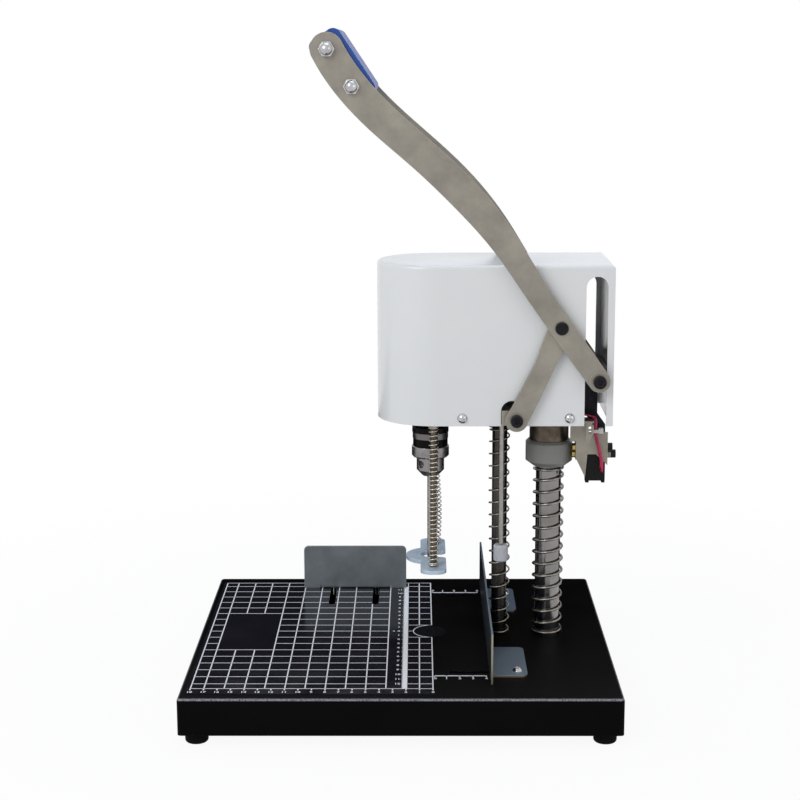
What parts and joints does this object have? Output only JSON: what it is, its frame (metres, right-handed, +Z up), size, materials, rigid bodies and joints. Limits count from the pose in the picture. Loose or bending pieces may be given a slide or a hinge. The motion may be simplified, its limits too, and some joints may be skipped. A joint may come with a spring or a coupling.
{
  "type": "paper drill",
  "caption": "Bench paper drill with a curved hand lever over a covered motor head on two sprung columns, above a black tray with a printed scale, paper stop and back fence",
  "frame": {"origin": "on the drill axis, at the level that the four feet stand on", "axes": "+Z up along the drill axis, +X to the right towards the columns, +Y to the back"},
  "size_m": [0.3332, 0.296, 0.5178],
  "materials": {
    "black_paint": "semi-gloss",
    "film": "gloss",
    "black_nylon": "matte",
    "rubber": "matte",
    "steel": "brushed",
    "dark_steel": "satin",
    "ground_shaft": "ground",
    "bright_wire": "bright",
    "zinc": "zinc plated",
    "black_oxide": "black oxide",
    "aluminium": "milled",
    "white_paint": "gloss",
    "grey_nylon": "satin",
    "milky_nylon": "translucent",
    "black_plastic": "satin",
    "clear_plastic": "translucent",
    "red_pvc": "gloss",
    "blue_plastic": "gloss",
    "chrome": "polished",
    "brass": "bright"
  },
  "bodies": {
    "stand": {"base_tray": "black_paint", "feet": "rubber", "scale_film": "film", "cutting_pad": "black_nylon", "pad_cup": "steel", "column_plate": "steel", "thick_column": "ground_shaft", "thin_column": "ground_shaft", "column_nuts": "steel", "main_spring": "bright_wire", "guide_spring": "bright_wire", "fulcrum_bracket": "steel", "fulcrum_bolts": "black_oxide", "fulcrum_washers": "zinc", "trip_arm": "black_oxide"},
    "head": {"head_plate": "aluminium", "cover": "white_paint", "cover_screws": "chrome", "bearing_housing": "dark_steel", "spring_collar": "grey_nylon", "guide_bush": "black_nylon", "motor_can": "dark_steel", "motor_end_cap": "black_plastic", "presser_bushes": "brass", "presser_spring_front": "bright_wire", "presser_spring_rear": "bright_wire", "stop_rod": "steel", "stop_cap": "milky_nylon", "link_bolts": "black_oxide", "switch_bracket": "zinc", "microswitch": "black_plastic", "microswitch_screws": "black_oxide", "microswitch_spacer": "zinc", "microswitch_nuts": "brass", "switch_leads": "red_pvc", "cable_tie": "clear_plastic", "cable_gland": "black_plastic"},
    "spindle": {"spindle_shaft": "steel", "chuck_body": "dark_steel", "drill_bit": "steel"},
    "chuck_ring": {"chuck_ring": "steel"},
    "jaw_1": {"chuck_jaw_1": "steel"},
    "jaw_2": {"chuck_jaw_2": "steel"},
    "jaw_3": {"chuck_jaw_3": "steel"},
    "plunger": {"switch_plunger": "black_plastic"},
    "lever": {"lever_plate_front": "zinc", "lever_plate_rear": "zinc", "lever_grip": "blue_plastic", "grip_nuts": "chrome", "lever_pins": "black_oxide"},
    "links": {"link_front": "zinc", "link_rear": "zinc"},
    "presser": {"presser_foot": "zinc", "presser_rods": "dark_steel", "rod_clips": "black_oxide"},
    "stop": {"paper_stop": "zinc", "paper_stop_screws": "chrome", "paper_stop_nuts": "steel"},
    "fence": {"back_fence": "zinc", "back_fence_screws": "chrome"}
  },
  "joints": [
    {"name": "head_slide", "type": "slide", "parent": "stand", "child": "head", "axis": [0, 0, -1], "range_m": [0, 0.062], "stiffness_N_per_m": 600, "springref_m": -0.15, "deforming": ["main_spring", "guide_spring"]},
    {"name": "lever_hinge", "type": "hinge", "parent": "stand", "child": "lever", "pos_m": [0.128, 0, 0.2547], "axis": [0, -1, 0], "range_deg": [0, 72]},
    {"name": "link_hinge", "type": "hinge", "parent": "head", "child": "links", "pos_m": [0.0656, 0, 0.2238], "axis": [0, -1, 0], "range_deg": [0, 15]},
    {"name": "spindle_spin", "type": "hinge", "parent": "head", "child": "spindle", "pos_m": [0, 0, 0.2027], "axis": [0, 0, 1], "continuous": true},
    {"name": "chuck_ring_turn", "type": "hinge", "parent": "spindle", "child": "chuck_ring", "pos_m": [0, 0, 0.1877], "axis": [0, 0, 1], "range_deg": [0, 1080]},
    {"name": "jaw_slide_1", "type": "slide", "parent": "spindle", "child": "jaw_1", "axis": [0.1814, 0.1846, 0.9659], "range_m": [0, 0.003]},
    {"name": "jaw_slide_2", "type": "slide", "parent": "spindle", "child": "jaw_2", "axis": [-0.2506, 0.0648, 0.9659], "range_m": [0, 0.003]},
    {"name": "jaw_slide_3", "type": "slide", "parent": "spindle", "child": "jaw_3", "axis": [0.0692, -0.2494, 0.9659], "range_m": [0, 0.003]},
    {"name": "presser_slide", "type": "slide", "parent": "head", "child": "presser", "axis": [0, 0, 1], "range_m": [0, 0.055], "stiffness_N_per_m": 100, "springref_m": -0.05, "deforming": ["presser_spring_front", "presser_spring_rear"]},
    {"name": "switch_press", "type": "slide", "parent": "head", "child": "plunger", "axis": [0, 0, -1], "range_m": [0, 0.0015], "stiffness_N_per_m": 300, "springref_m": -0.002},
    {"name": "paper_stop_slide", "type": "slide", "parent": "stand", "child": "stop", "axis": [-1, 0, 0], "range_m": [0, 0.024]},
    {"name": "back_fence_slide", "type": "slide", "parent": "stand", "child": "fence", "axis": [0, -1, 0], "range_m": [0, 0.05]}
  ],
  "couplings": [
    {"joint": "lever_hinge", "follows": "head_slide", "rad_per_m": 20.268},
    {"joint": "link_hinge", "follows": "head_slide", "rad_per_m": 4.017},
    {"joint": "jaw_slide_1", "follows": "chuck_ring_turn", "m_per_rad": 0.00015915},
    {"joint": "jaw_slide_2", "follows": "chuck_ring_turn", "m_per_rad": 0.00015915},
    {"joint": "jaw_slide_3", "follows": "chuck_ring_turn", "m_per_rad": 0.00015915}
  ]
}
